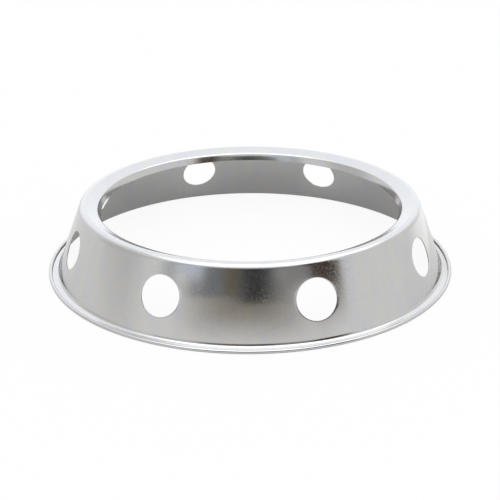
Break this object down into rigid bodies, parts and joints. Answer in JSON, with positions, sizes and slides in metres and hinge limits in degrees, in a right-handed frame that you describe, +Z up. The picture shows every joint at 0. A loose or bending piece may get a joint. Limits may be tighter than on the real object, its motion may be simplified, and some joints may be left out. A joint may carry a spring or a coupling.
{
  "type": "wok ring",
  "caption": "Pressed steel wok ring: conical wall with round vents, inward-sloping seat with a turned-down lip, and a flared foot with a curled edge.",
  "frame": {"origin": "centre of the ring, on the plane that the curled foot edge stands on", "axes": "+Z up along the ring's axis, from the foot to the seat; the X and Y axes each pass midway between two vents"},
  "size_m": [0.248, 0.248, 0.0421],
  "materials": {
    "steel_sheet": "bright nickel-coloured plated steel sheet, satin on the wall and polished on the bends, lip and foot"
  },
  "bodies": {
    "root": {"wok_ring": "steel_sheet"}
  },
  "joints": []
}
